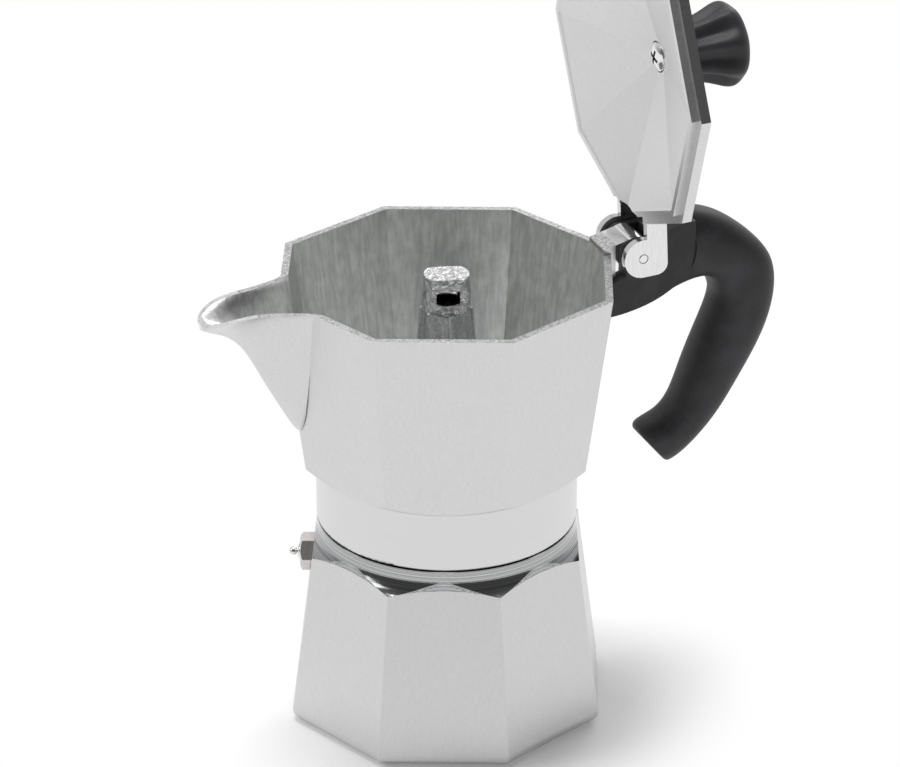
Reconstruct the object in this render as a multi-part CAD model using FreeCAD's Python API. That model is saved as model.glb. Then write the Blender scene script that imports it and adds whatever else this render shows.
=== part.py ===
import FreeCAD, Part
import math
import os

# Stove-top moka pot with its lid open. Millimetres. Origin: centre of the base's underside, +Z up,
# +X towards the handle, so the spout points along -X and the XZ plane is the plane of symmetry.
# Octagons have a vertex on +X and one on -X.

V = FreeCAD.Vector
FACETS = 8

# ---- boiler ----
BASE_FLATS = 82.4            # across flats at the very bottom
SHOULDER_LEDGE = 0.7         # from the seat's edge to the flats at the shoulder's cusps
SHOULDER_Z = 47.8            # height of the cusps
SHOULDER_SLOPE = 0.577       # fall of the turned shoulder per millimetre of radius
BASE_ROUND = 3.2             # rounding of the bottom edge
BASE_GROOVE_R = 31.0         # turned groove in the flat underside
BASE_GROOVE_WIDTH = 1.6
BASE_GROOVE_DEPTH = 0.6
EDGE_ROUND = 0.6             # rounding of the upright edges
BOILER_FLOOR = 3.6
BOILER_WALL = 3.2
SEAT_RISE = 7.0              # from the cusps to the flat that faces the collar
SEAT_INSET = 0.1             # from the collar's outside to the seat's edge
COVE_R = 6.0                 # hollow curve from the shoulder up to the seat
NECK_WALL = 2.2              # from the bore to the root of the neck's thread
NECK_BORE_R = 27.0
NECK_RISE = 11.2             # from the seat to the neck's top

# ---- safety valve, on the flat beside the spout ----
VALVE_ANGLE = 157.5
VALVE_DROP = 5.6             # from the cusps down to the valve's axis
VALVE_HEX_FLATS = 8.8
VALVE_HEX_LENGTH = 3.8
VALVE_SHANK_R = 3.6
VALVE_SHANK_REACH = 1.4      # how far the shank stands into the water
VALVE_WALL = 1.5             # of the shank about its bore
VALVE_CAP_LIP = 0.2          # of the cap over the bore
VALVE_CAP_HEIGHT = 0.75
VALVE_CAP_DEPTH = 1.6
VALVE_PIN_R = 0.65
VALVE_BALL_R = 1.15
VALVE_HEAD_R = 2.7
VALVE_HEAD_LENGTH = 0.9
VALVE_SEAL_LENGTH = 0.8
VALVE_COLLAR_LENGTH = 0.6    # of the pin's collar, which rests on the seal
VALVE_LIFT = 1.2             # travel of the pin when the valve opens
VALVE_WIRE_R = 0.2
VALVE_COILS = 4

# ---- funnel ----
BASKET_PLAY = 0.6            # between the basket and the neck's bore
BASKET_DEPTH = 21.0
BASKET_WALL = 0.8
FLANGE_INSET = 0.4           # from the neck's outside to the flange's edge
STRAINER_THICKNESS = 0.8
TUBE_R = 4.5
TUBE_WALL = 0.7
TUBE_GAP = 3.4               # from the tube's mouth to the boiler's floor
CONE_DROP = 4.0
HOLE_R = 0.75
HOLE_PITCH = 4.3

# ---- filter pack ----
GASKET_GRIP = 1.25           # how far the gasket stands into the collar's groove
GASKET_LAP = 0.8             # how far the gasket reaches in over the neck's bore
GASKET_THICKNESS = 4.0
DISC_LAP = 1.8               # how far the disc lies on the gasket
DISC_THICKNESS = 0.8
DISC_HOLE_R = 0.6
DISC_HOLE_PITCH = 2.9

# ---- collector ----
RIM_FLATS = 85.0             # across flats at the rim
CUP_HEIGHT = 49.6            # from the lower vertices to the rim
FOOT_LEDGE = 1.87            # from the collar to the flats at the lower vertices
COLLAR_HEIGHT = 19.45        # from the collar's lower edge to the lower vertices
UNDERCUT_SLOPE = 0.66        # fall of the turned undercut per millimetre of radius
COLLAR_WALL = 3.45
COLLAR_GAP = 0.15            # between the seat and the collar's lower edge
COLLAR_ROUND = 1.0
COLLECTOR_WALL = 1.9
COLLECTOR_FLOOR = 2.6
THREAD_ROOM = 1.75           # between the neck and the root of the collar's thread
DISC_ROOM = 2.6              # height of the chamber above the filter disc
COLUMN_SINK = 0.4            # from the rim down to the column's top
COLUMN_TOP_R = 5.9
COLUMN_FOOT_R = 9.0
COLUMN_FLAT_SHARE = 0.73     # the head's flats, as a share of its radius
COLUMN_BORE_R = 3.4
COLUMN_RIBS = 8
COLUMN_TURN = -105.0         # direction that the outlet window faces
WINDOW_WIDTH = 6.2
WINDOW_HEIGHT = 4.1
WINDOW_DROP = 3.3            # from the column's top to the window
COLUMN_HEAD = 9.4            # height of the column's head

# ---- spout, a lofted channel on the -X vertex ----
# (reach beyond the rim's half width, keel and edge below the rim, half width)
SPOUT_SECTIONS = [
    (-2.2, 38.0, 0.0, 13.6),
    (3.1, 30.8, 0.0, 10.9),
    (8.1, 21.4, 0.0, 9.3),
    (12.7, 12.8, 0.1, 8.6),
    (16.7, 8.5, 0.7, 8.0),
    (20.3, 6.7, 1.7, 6.7),
    (22.8, 5.7, 2.7, 4.6),
    (24.1, 5.1, 3.4, 2.2),
]
SPOUT_WALL = 1.7

# ---- hinge ----
HINGE_REACH = 8.7            # from the rim's half width out to the pin
HINGE_SINK = 0.8             # from the rim down to the pin
PIN_R = 1.3
PIN_PLAY = 0.05
EAR_THICKNESS = 2.1
EAR_LOBE_R = 5.3
EAR_RISE = 6.8               # from the pin to the ear's upper edge
SIDE_PLAY = 0.15
CHEEK_R = 3.9
LUG_HALF = 4.8
LUG_R = 4.4
OPEN_ANGLE = 87.0            # the lid's travel from closed to its stop

# ---- lid, described closed ----
LID_INSET = 0.6              # of the skirt's vertices inside the rim's
LID_GAP = 0.15               # play between the closed lid and the rim
LID_SKIRT = 2.6
LID_BOSS_R = 9.0
LID_RISE = 10.4              # from the rim to the boss
LID_BOSS_RISE = 0.5          # height of the knob's round seat
LID_RIB_PLAY = 0.945         # between the locating rib and the cup's wall
LID_RIB_DROP = 1.6
LID_RIB_WIDTH = 2.4
LID_PANEL_DROP = 1.2
LID_SEAT_MARGIN = 0.8        # of the screw's seat about its head
LID_SEAT_DROP = 1.5          # from the boss down to the screw's seat
LID_NOTCH_REACH = 11.6       # from the pin in to the notch for the handle

# ---- knob ----
# knob sections: (share of the height, radius, depth of the flutes)
KNOB_SECTIONS = [
    (0.0, 8.3, 0.3), (0.12, 8.0, 0.8), (0.3, 8.2, 1.3), (0.48, 9.1, 1.6), (0.64, 10.4, 1.6),
    (0.75, 11.1, 1.2), (0.83, 11.0, 0.7), (0.9, 10.0, 0.3), (0.95, 8.3, 0.1), (0.985, 5.6, 0.03),
    (1.0, 2.5, 0.01),
]
KNOB_HEIGHT = 21.2
KNOB_FLUTES = 8
INSERT_R = 3.2
INSERT_LENGTH = 11.0
SCREW_R = 1.95
SCREW_HEAD_R = 4.0
SCREW_HEAD_HEIGHT = 2.0
SCREW_LENGTH = 12.0
SCREW_PLAY = 0.08

# ---- handle ----
HANDLE_HALF = 7.25           # half width between the ears
HANDLE_FIT = 0.1             # play against the collector's wall
POCKET_R = 16.0              # room for the ears beside the handle
# grip sections: (x and z from the pin, direction of the long axis in degrees, half depth, half width)
GRIP_SECTIONS = [
    (9.4, -3.3, 90.0, 11.4, 6.9),
    (15.6, -1.8, 88.0, 10.3, 7.7),
    (22.2, -2.5, 76.0, 9.0, 8.1),
    (28.4, -6.7, 47.0, 8.3, 8.2),
    (32.7, -14.3, 12.0, 8.9, 8.1),
    (31.0, -25.0, -19.0, 8.7, 7.9),
    (25.8, -36.3, -23.0, 8.2, 7.7),
    (21.5, -45.1, -28.0, 7.2, 7.4),
    (17.8, -51.1, -36.0, 6.4, 7.1),
    (13.6, -55.2, -44.0, 6.5, 6.9),
    (9.1, -57.9, -50.0, 7.0, 6.7),
    (7.0, -59.3, -50.0, 6.5, 6.2),
]

HALF_TURN = math.radians(180.0 / FACETS)


def circumradius(flats):
    """Distance from the axis to a vertex of an octagon, from its width across flats."""
    return flats / 2 / math.cos(HALF_TURN)


def octagon(radius, z):
    """Closed octagonal wire with a vertex on +X."""
    points = []
    for i in range(FACETS + 1):
        angle = 2 * math.pi * (i % FACETS) / FACETS
        points.append(V(radius * math.cos(angle), radius * math.sin(angle), z))
    return Part.makePolygon(points)


def frustum(radius_low, z_low, radius_high, z_high):
    """Octagonal frustum between two heights."""
    return Part.makeLoft([octagon(radius_low, z_low), octagon(radius_high, z_high)], True, True)


def on_a_vertex(edge):
    """Whether an edge runs upright along one of the octagon's vertices."""
    if edge.BoundBox.ZLength < 0.3:
        return False
    for vertex in edge.Vertexes:
        turn = math.degrees(math.atan2(vertex.Y, vertex.X)) % (360 / FACETS)
        if min(turn, 360 / FACETS - turn) > 0.6:
            return False
    return True


def soften(shape, radius):
    """Round the upright edges of an octagonal frustum."""
    return shape.makeFillet(radius, [edge for edge in shape.Edges if on_a_vertex(edge)])


def turned(points):
    """Solid of revolution about Z from a closed outline of (radius, height) points.

    An entry of three values is an arc's middle point, followed by the arc's end."""
    edges = []
    last = V(points[0][0], 0, points[0][1])
    middle = None
    for point in points[1:] + points[:1]:
        here = V(point[0], 0, point[1])
        if len(point) == 3:
            middle = here
            continue
        if middle is not None:
            edges.append(Part.Arc(last, middle, here).toShape())
            middle = None
        elif last.distanceToPoint(here) > 1e-6:
            edges.append(Part.LineSegment(last, here).toShape())
        last = here
    face = Part.Face(Part.Wire(edges))
    return face.revolve(V(0, 0, 0), V(0, 0, 1), 360)


def cylinder(radius, z_low, z_high):
    """Cylinder on the Z axis."""
    return Part.makeCylinder(radius, z_high - z_low, V(0, 0, z_low))


def cross_cylinder(radius, x, z, y_low, y_high):
    """Cylinder parallel to Y."""
    return Part.makeCylinder(radius, y_high - y_low, V(x, y_low, z), V(0, 1, 0))


def box(x_low, x_high, y_low, y_high, z_low, z_high):
    """Box from its corners."""
    return Part.makeBox(x_high - x_low, y_high - y_low, z_high - z_low, V(x_low, y_low, z_low))


def plate(outline, y_low, y_high):
    """Plate from an outline of (x, z) points, between two values of y."""
    wire = Part.makePolygon([V(x, y_low, z) for x, z in outline + outline[:1]])
    return Part.Face(wire).extrude(V(0, y_high - y_low, 0))


def perforate(shape, hole_r, z_low, z_high, rings, pitch):
    """Cut rings of round holes through a plate."""
    holes = [cylinder(hole_r, z_low, z_high)]
    for ring in range(1, rings + 1):
        count = 6 * ring
        for i in range(count):
            angle = 2 * math.pi * i / count
            hole = cylinder(hole_r, z_low, z_high)
            hole.translate(V(ring * pitch * math.cos(angle), ring * pitch * math.sin(angle), 0))
            holes.append(hole)
    return shape.cut(Part.makeCompound(holes))


def on_valve_axis(shape):
    """Turn a shape built along Z, with its origin on the pot's axis, onto the valve's axis."""
    shape.rotate(V(0, 0, 0), V(0, 1, 0), 90)
    shape.rotate(V(0, 0, 0), V(0, 0, 1), VALVE_ANGLE)
    shape.translate(V(0, 0, VALVE_Z))
    return shape


def save(name, shape, refine=True):
    """Write one node."""
    if refine:
        shape = shape.removeSplitter()
    shape.exportStep("parts/" + name + ".step")
    print(name, len(shape.Solids), round(shape.Volume, 1), shape.isValid())
    return shape


# ---- sizes that follow from the driving ones ----
NECK_R = NECK_BORE_R + NECK_WALL
THREAD_BORE_R = NECK_R + THREAD_ROOM
COLLAR_R = THREAD_BORE_R + COLLAR_WALL
SEAT_R = COLLAR_R - SEAT_INSET
BASKET_R = NECK_BORE_R - BASKET_PLAY
BASKET_FLANGE_R = NECK_R - FLANGE_INSET
GASKET_R = THREAD_BORE_R + GASKET_GRIP
GASKET_BORE_R = NECK_BORE_R - GASKET_LAP
DISC_R = GASKET_BORE_R + DISC_LAP
BASE_R = circumradius(BASE_FLATS)
SHOULDER_R = circumradius(2 * (SEAT_R + SHOULDER_LEDGE))
BOILER_DRAFT = (BASE_R - SHOULDER_R) / SHOULDER_Z
RIM_R = circumradius(RIM_FLATS)
FOOT_R = circumradius(2 * (COLLAR_R + FOOT_LEDGE))
COLLECTOR_DRAFT = (RIM_R - FOOT_R) / CUP_HEIGHT
CUP_WALL = COLLECTOR_WALL / math.cos(HALF_TURN)
SEAT_Z = SHOULDER_Z + SEAT_RISE
NECK_TOP_Z = SEAT_Z + NECK_RISE
FLANGE_TOP = NECK_TOP_Z + BASKET_WALL
GASKET_TOP = FLANGE_TOP + GASKET_THICKNESS
DISC_TOP = GASKET_TOP + DISC_THICKNESS
COLLAR_Z = SEAT_Z + COLLAR_GAP
FOOT_Z = COLLAR_Z + COLLAR_HEIGHT
RIM_Z = FOOT_Z + CUP_HEIGHT
COLUMN_TOP_Z = RIM_Z - COLUMN_SINK
WINDOW_HIGH_Z = COLUMN_TOP_Z - WINDOW_DROP
WINDOW_LOW_Z = WINDOW_HIGH_Z - WINDOW_HEIGHT
COLUMN_LEDGE_Z = COLUMN_TOP_Z - COLUMN_HEAD
VALVE_Z = SHOULDER_Z - VALVE_DROP
VALVE_BORE_R = VALVE_SHANK_R - VALVE_WALL
VALVE_CAP_R = VALVE_BORE_R + VALVE_CAP_LIP
VALVE_FACE = (BASE_R - BOILER_DRAFT * VALVE_Z) * math.cos(HALF_TURN)
VALVE_SEAT = VALVE_FACE - BOILER_DRAFT * VALVE_HEX_FLATS / 2
VALVE_TIP = VALVE_SEAT + VALVE_HEX_LENGTH
HINGE_X = RIM_FLATS / 2 + HINGE_REACH
HINGE_Z = RIM_Z - HINGE_SINK
EAR_IN = HANDLE_HALF + SIDE_PLAY
EAR_OUT = EAR_IN + EAR_THICKNESS
LID_Z = RIM_Z + LID_GAP
LID_R = RIM_R - LID_INSET
LID_RIB_R = RIM_R - CUP_WALL - LID_RIB_PLAY
LID_PANEL_R = LID_RIB_R - LID_RIB_WIDTH
LID_BOSS_Z = RIM_Z + LID_RISE
LID_SEAT_Z = LID_BOSS_Z - LID_SEAT_DROP
LID_SEAT_R = SCREW_HEAD_R + LID_SEAT_MARGIN
LID_NOTCH_X = HINGE_X - LID_NOTCH_REACH


def boiler_radius(z):
    """Circumradius of the boiler's flanks at a height."""
    return BASE_R - BOILER_DRAFT * z


def collector_radius(z):
    """Circumradius of the collector's flanks at a height."""
    return FOOT_R + COLLECTOR_DRAFT * (z - FOOT_Z)


def shoulder_z(r):
    """Height of the turned shoulder at a radius."""
    return SHOULDER_Z + (SHOULDER_R - r) * SHOULDER_SLOPE


def make_boiler():
    """Octagonal chamber, turned shoulder and neck, hollow inside, with the valve's hole."""
    top = SEAT_Z + 1
    flanks = soften(frustum(BASE_R, 0, boiler_radius(top), top), EDGE_ROUND)
    low_edges = [edge for edge in flanks.Edges if edge.BoundBox.ZMax < 0.01]
    flanks = flanks.makeFillet(BASE_ROUND, low_edges)
    wide = BASE_R + 5
    lean = math.atan(SHOULDER_SLOPE)
    cove_low = SEAT_R + COVE_R * (1 - math.sin(lean))
    cove_high = shoulder_z(cove_low) + COVE_R * math.cos(lean)
    halfway = (lean + math.pi / 2) / 2
    turn = turned([
        (0, 0), (wide, 0), (wide, shoulder_z(wide)), (cove_low, shoulder_z(cove_low)),
        (SEAT_R + COVE_R * (1 - math.sin(halfway)), cove_high - COVE_R * math.cos(halfway), 0),
        (SEAT_R, cove_high), (SEAT_R, SEAT_Z), (0, SEAT_Z),
    ])
    outer = flanks.common(turn)
    neck = cylinder(NECK_R, SEAT_Z - 1, NECK_TOP_Z)
    neck = neck.makeChamfer(0.5, [edge for edge in neck.Edges if edge.BoundBox.ZMin > NECK_TOP_Z - 0.01])
    outer = outer.fuse(neck)
    low_r = BASE_R * math.cos(HALF_TURN) - BOILER_WALL - BOILER_DRAFT * BOILER_FLOOR
    high_z = SHOULDER_Z - 3.8
    high_r = boiler_radius(high_z) * math.cos(HALF_TURN) - BOILER_WALL
    bend = 4.0
    inner = turned([
        (0, BOILER_FLOOR), (low_r - bend, BOILER_FLOOR),
        (low_r - bend * 0.293, BOILER_FLOOR + bend * 0.293, 0), (low_r, BOILER_FLOOR + bend),
        (high_r, high_z), (NECK_BORE_R, SEAT_Z - 2.0), (NECK_BORE_R, NECK_TOP_Z + 1), (0, NECK_TOP_Z + 1),
    ])
    groove = cylinder(BASE_GROOVE_R, -1, BASE_GROOVE_DEPTH)
    groove = groove.cut(cylinder(BASE_GROOVE_R - BASE_GROOVE_WIDTH, -2, BASE_GROOVE_DEPTH + 1))
    hole = on_valve_axis(cylinder(VALVE_SHANK_R, 20, VALVE_FACE + 5))
    spot = on_valve_axis(cylinder(VALVE_HEX_FLATS / 2 + 1.2, VALVE_SEAT, VALVE_FACE + 10))
    return outer.cut(inner).cut(groove).cut(hole).cut(spot)


def make_spring(radius, z_low, z_high):
    """Coil spring on the Z axis, swept along tilted half circles that meet squarely."""
    step = (z_high - z_low) / (2 * VALVE_COILS)
    arcs = []
    for i in range(2 * VALVE_COILS):
        side = 1 - 2 * (i % 2)
        start = V(side * radius, 0, z_low + i * step)
        end = V(-side * radius, 0, z_low + (i + 1) * step)
        bulge = V(0, side * start.distanceToPoint(end) / 2, 0)
        arcs.append(Part.Arc(start, (start + end) / 2 + bulge, end).toShape())
    section = Part.Wire(Part.makeCircle(VALVE_WIRE_R, V(radius, 0, z_low), V(0, 1, 0)))
    return Part.Wire(arcs).makePipeShell([section], True, True)


def make_valve():
    """The safety valve's pieces, built along Z and turned onto its axis."""
    inner_end = VALVE_SEAT - BOILER_WALL - VALVE_SHANK_REACH
    hex_r = VALVE_HEX_FLATS / 2 / math.cos(math.radians(30))
    corners = []
    for i in range(7):
        angle = math.radians(60 * (i % 6) + 30)
        corners.append(V(hex_r * math.cos(angle), hex_r * math.sin(angle), VALVE_SEAT))
    hexagon = Part.Face(Part.makePolygon(corners)).extrude(V(0, 0, VALVE_HEX_LENGTH))
    bevel = turned([
        (0, VALVE_SEAT), (hex_r + 1, VALVE_SEAT), (hex_r + 1, VALVE_TIP - 1.3), (hex_r - 0.9, VALVE_TIP),
        (0, VALVE_TIP),
    ])
    body = hexagon.common(bevel).fuse(cylinder(VALVE_SHANK_R, inner_end, VALVE_SEAT + 0.5))
    step = inner_end + 1.2
    body = body.cut(cylinder(VALVE_BORE_R, step, VALVE_TIP + 1))
    body = body.cut(cylinder(VALVE_PIN_R + 0.35, inner_end - 1, step + 1))
    cap = turned([
        (VALVE_PIN_R + 0.06, VALVE_TIP - VALVE_CAP_DEPTH), (VALVE_BORE_R, VALVE_TIP - VALVE_CAP_DEPTH),
        (VALVE_BORE_R, VALVE_TIP), (VALVE_CAP_R + 0.1, VALVE_TIP),
        (VALVE_CAP_R - 0.35, VALVE_TIP + VALVE_CAP_HEIGHT * 0.7, 0), (1.2, VALVE_TIP + VALVE_CAP_HEIGHT),
        (VALVE_PIN_R + 0.06, VALVE_TIP + VALVE_CAP_HEIGHT),
    ])
    ball_z = VALVE_TIP + VALVE_CAP_HEIGHT + VALVE_BALL_R
    head_top = inner_end - VALVE_LIFT - 0.05
    seal_top = step + VALVE_SEAL_LENGTH
    pin = cylinder(VALVE_PIN_R, head_top - 0.2, ball_z)
    pin = pin.fuse(Part.makeSphere(VALVE_BALL_R, V(0, 0, ball_z)))
    collar = cylinder(VALVE_BORE_R - 0.15, seal_top, seal_top + VALVE_COLLAR_LENGTH)
    pin = pin.fuse(cylinder(VALVE_HEAD_R, head_top - VALVE_HEAD_LENGTH, head_top)).fuse(collar)
    seal = cylinder(VALVE_BORE_R - 0.25, step, seal_top).cut(cylinder(VALVE_PIN_R, step - 1, seal_top + 1))
    low = seal_top + VALVE_COLLAR_LENGTH + VALVE_LIFT + 0.1
    high = VALVE_TIP - VALVE_CAP_DEPTH - 0.05
    spring = make_spring(VALVE_BORE_R - VALVE_WIRE_R - 0.12, low + VALVE_WIRE_R, high - VALVE_WIRE_R)
    return [on_valve_axis(shape) for shape in (body, cap, pin, seal, spring)]


def make_funnel():
    """Coffee basket, its tube and the strainer plate in its bottom."""
    floor_z = NECK_TOP_Z - BASKET_DEPTH
    cone_z = floor_z - CONE_DROP
    tube_in = TUBE_R - TUBE_WALL
    w = BASKET_WALL
    r = BASKET_R
    rest = 1.4
    basket = turned([
        (r, NECK_TOP_Z), (BASKET_FLANGE_R, NECK_TOP_Z), (BASKET_FLANGE_R, FLANGE_TOP), (r - w, FLANGE_TOP),
        (r - w, floor_z), (r - w - rest, floor_z), (TUBE_R, cone_z), (TUBE_R, cone_z - 4),
        (TUBE_R + w, cone_z - 4), (TUBE_R + w, cone_z - w), (r - rest, floor_z - w),
        (r - 0.4, floor_z - w + 0.3),
        (r, floor_z),
    ])
    tube = cylinder(TUBE_R, BOILER_FLOOR + TUBE_GAP, cone_z + 0.4)
    tube = tube.cut(cylinder(tube_in, 0, cone_z + 2))
    slot = box(-1.2, 1.2, -10, 10, 0, BOILER_FLOOR + TUBE_GAP + 1.5)
    tube = tube.cut(slot)
    strainer = cylinder(r - w, floor_z, floor_z + STRAINER_THICKNESS)
    rings = int((r - w - 2.0) / HOLE_PITCH)
    strainer = perforate(strainer, HOLE_R, floor_z - 1, floor_z + 2, rings, HOLE_PITCH)
    return basket, tube, strainer


def make_filter_pack():
    """Gasket ring, and the perforated disc that it holds up."""
    gasket = cylinder(GASKET_R, FLANGE_TOP, GASKET_TOP).cut(cylinder(GASKET_BORE_R, 0, RIM_Z))
    disc = cylinder(DISC_R, GASKET_TOP, DISC_TOP)
    disc = disc.cut(cylinder(DISC_R - 3.2, GASKET_TOP - 0.2, GASKET_TOP + 0.3))
    rings = int((DISC_R - 4.4) / DISC_HOLE_PITCH)
    disc = perforate(disc, DISC_HOLE_R, GASKET_TOP - 1, DISC_TOP + 1, rings, DISC_HOLE_PITCH)
    return gasket, disc


def spout_section(x, keel, rim, half, inset, lift):
    """V-shaped closed section of the spout, square to X, drawn in by a wall and raised above the rim."""
    width = half - inset
    low = keel + inset * 1.5
    depth = rim - low
    belly = width * 0.5
    top = rim + lift
    bottom = [V(x, -width, rim), V(x, -belly, low + depth * 0.42), V(x, 0, low),
              V(x, belly, low + depth * 0.42), V(x, width, rim)]
    curve = Part.BSplineCurve()
    curve.interpolate(bottom)
    edges = [curve.toShape(), Part.LineSegment(bottom[-1], V(x, width, top)).toShape(),
             Part.LineSegment(V(x, width, top), V(x, -width, top)).toShape(),
             Part.LineSegment(V(x, -width, top), bottom[0]).toShape()]
    return Part.Wire(edges)


def make_spout():
    """The spout's outer body and the channel to cut from it."""
    outer = []
    inner = []
    sections = []
    for reach, keel, edge, half in SPOUT_SECTIONS:
        sections.append((-RIM_FLATS / 2 - reach, RIM_Z - keel, RIM_Z - edge, half))
    for x, keel, rim, half in sections:
        outer.append(spout_section(x, keel, rim, half, 0, 3))
        if half > SPOUT_WALL * 1.6:
            inner.append(spout_section(x, keel, rim, half, SPOUT_WALL, 3.5))
    first = sections[0]
    start = spout_section(first[0] + 8, first[1] - 2.0, first[2], first[3] + 2.0, SPOUT_WALL, 3.5)
    body = Part.makeLoft(outer, True, False)
    channel = Part.makeLoft([start] + inner, True, False)
    crown_points = [V(x, 0, rim) for x, keel, rim, half in sections]
    crown = Part.BSplineCurve()
    crown.interpolate(crown_points)
    high = RIM_Z + 6
    end = crown_points[-1] + V(-4, 0, -0.8)
    loop = Part.Wire([
        crown.toShape(), Part.LineSegment(crown_points[-1], end).toShape(),
        Part.LineSegment(end, V(end.x, 0, high)).toShape(),
        Part.LineSegment(V(end.x, 0, high), V(crown_points[0].x, 0, high)).toShape(),
        Part.LineSegment(V(crown_points[0].x, 0, high), crown_points[0]).toShape(),
    ])
    face = Part.Face(loop)
    face.translate(V(0, -30, 0))
    above = face.extrude(V(0, 60, 0))
    return body, channel, above


def make_column():
    """Ribbed column with its bore and its outlet windows."""
    foot_z = DISC_TOP + DISC_ROOM + 1.0
    column = Part.makeCone(COLUMN_FOOT_R, COLUMN_TOP_R, COLUMN_TOP_Z - foot_z, V(0, 0, foot_z))
    ribs = []
    for i in range(COLUMN_RIBS):
        rib = Part.makeCone(1.3, 0.75, COLUMN_LEDGE_Z - foot_z, V(0, 0, foot_z))
        lean = math.degrees(math.atan2(COLUMN_FOOT_R - COLUMN_TOP_R, COLUMN_TOP_Z - foot_z))
        rib.rotate(V(0, 0, foot_z), V(0, 1, 0), -lean)
        rib.translate(V(COLUMN_FOOT_R - 0.35, 0, 0))
        rib.rotate(V(0, 0, 0), V(0, 0, 1), 360.0 * (i + 0.5) / COLUMN_RIBS)
        ribs.append(rib)
    column = column.fuse(ribs)
    flat = COLUMN_TOP_R * COLUMN_FLAT_SHARE
    trim = box(-20, 20, flat, 20, COLUMN_LEDGE_Z, COLUMN_TOP_Z + 2)
    other = box(-20, 20, -20, -flat, COLUMN_LEDGE_Z, COLUMN_TOP_Z + 2)
    window = box(-WINDOW_WIDTH / 2, WINDOW_WIDTH / 2, -20, 20, WINDOW_LOW_Z, WINDOW_HIGH_Z)
    tools = Part.makeCompound([trim, other])
    tools.rotate(V(0, 0, 0), V(0, 0, 1), COLUMN_TURN + 90)
    window.rotate(V(0, 0, 0), V(0, 0, 1), COLUMN_TURN + 90)
    column = column.cut(tools).cut(window)
    bore = cylinder(COLUMN_BORE_R, foot_z - 5, WINDOW_HIGH_Z - 0.4)
    return column, bore


def make_lug():
    """Hinge lug on the collector's handle vertex."""
    outline = [(HINGE_X, HINGE_Z + LUG_R), (RIM_R - 4, HINGE_Z + LUG_R - 2.4), (RIM_R - 4, HINGE_Z - 9),
               (HINGE_X - 4, HINGE_Z - 8), (HINGE_X + LUG_R * 0.7, HINGE_Z - LUG_R * 0.7)]
    lug = plate(outline, -LUG_HALF, LUG_HALF)
    lug = lug.fuse(cross_cylinder(LUG_R, HINGE_X, HINGE_Z, -LUG_HALF, LUG_HALF))
    return lug


def collector_solid(grow):
    """Outer octagonal body of the collector, grown by a margin."""
    high = RIM_Z + 5 * (1 if grow else 0)
    return frustum(collector_radius(FOOT_Z - 6) + grow, FOOT_Z - 6, collector_radius(high) + grow, high)


def make_collector():
    """Casting with the octagonal cup, spout, column, collar and hinge lug."""
    wide = RIM_R + 30
    undercut = turned([
        (0, COLLAR_Z), (COLLAR_R, COLLAR_Z), (COLLAR_R, FOOT_Z - (FOOT_R - COLLAR_R) * UNDERCUT_SLOPE),
        (wide, FOOT_Z + (wide - FOOT_R) * UNDERCUT_SLOPE), (wide, RIM_Z + 9), (0, RIM_Z + 9),
    ])
    cup = soften(collector_solid(0), EDGE_ROUND).common(undercut)
    collar = cylinder(COLLAR_R, COLLAR_Z, FOOT_Z - 1)
    low = [edge for edge in collar.Edges if edge.BoundBox.ZMax < COLLAR_Z + 0.01]
    collar = collar.makeFillet(COLLAR_ROUND, low)
    spout, channel, above = make_spout()
    column, bore = make_column()
    floor_z = DISC_TOP + DISC_ROOM + COLLECTOR_FLOOR
    high = RIM_Z + 2
    low_r = collector_radius(floor_z) - CUP_WALL - 0.6
    hollow = frustum(low_r, floor_z, collector_radius(high) - CUP_WALL, high)
    edges = [edge for edge in hollow.Edges if edge.BoundBox.ZMax < floor_z + 0.01]
    hollow = hollow.makeFillet(3.0, edges)
    shell = cup.fuse(collar).fuse(spout.cut(above)).cut(hollow).cut(channel)
    cavity = turned([
        (0, 0), (THREAD_BORE_R + 0.4, 0), (THREAD_BORE_R + 0.4, COLLAR_Z + 0.8),
        (THREAD_BORE_R, COLLAR_Z + 1.2), (THREAD_BORE_R, FLANGE_TOP - 0.4),
        (GASKET_R + 0.1, FLANGE_TOP - 0.4),
        (GASKET_R + 0.1, GASKET_TOP), (DISC_R + 0.2, GASKET_TOP), (DISC_R + 0.2, DISC_TOP + 0.05),
        (DISC_R - 1.6, DISC_TOP + 0.05), (DISC_R - 2.4, DISC_TOP + 0.9),
        (COLUMN_BORE_R + 1, DISC_TOP + DISC_ROOM), (0, DISC_TOP + DISC_ROOM),
    ])
    body = shell.fuse(column).cut(cavity).cut(bore).fuse(make_lug().cut(collector_solid(0)))
    return body.cut(cross_cylinder(PIN_R + 0.02, HINGE_X, HINGE_Z, -20, 20))


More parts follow.
